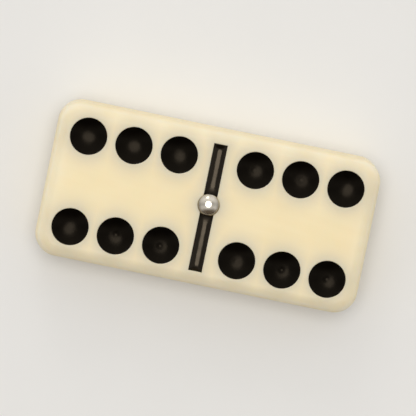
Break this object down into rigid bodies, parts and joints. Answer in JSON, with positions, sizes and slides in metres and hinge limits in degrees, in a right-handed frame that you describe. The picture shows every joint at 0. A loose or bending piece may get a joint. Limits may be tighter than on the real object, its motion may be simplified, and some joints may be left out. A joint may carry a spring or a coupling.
{
  "type": "domino tile",
  "caption": "Flat rectangular playing tile with rounded corners, dished black pips on each half, a grooved divider and a domed metal spinner pin at its middle.",
  "frame": {"origin": "middle of the tile's flat underside, on the table", "axes": "+Z out of the marked face, +X along the tile's length towards the right half, +Y across the tile towards the side that the spinner pin stands a little nearer to"},
  "size_m": [0.053, 0.0254, 0.011],
  "materials": {
    "ivory_resin": "polished cast resin, warm ivory right through, faintly mottled",
    "black_enamel": "semi-gloss black enamel, brushed into the recesses",
    "nickel_plate": "bright nickel plate over a turned pin"
  },
  "bodies": {
    "root": {"tile_body": "ivory_resin", "pip_enamel_left_1": "black_enamel", "pip_enamel_left_2": "black_enamel", "pip_enamel_left_3": "black_enamel", "pip_enamel_left_4": "black_enamel", "pip_enamel_left_5": "black_enamel", "pip_enamel_left_6": "black_enamel", "pip_enamel_right_1": "black_enamel", "pip_enamel_right_2": "black_enamel", "pip_enamel_right_3": "black_enamel", "pip_enamel_right_4": "black_enamel", "pip_enamel_right_5": "black_enamel", "pip_enamel_right_6": "black_enamel", "divider_enamel_front": "black_enamel", "divider_enamel_back": "black_enamel", "spinner_pin": "nickel_plate"}
  },
  "joints": []
}
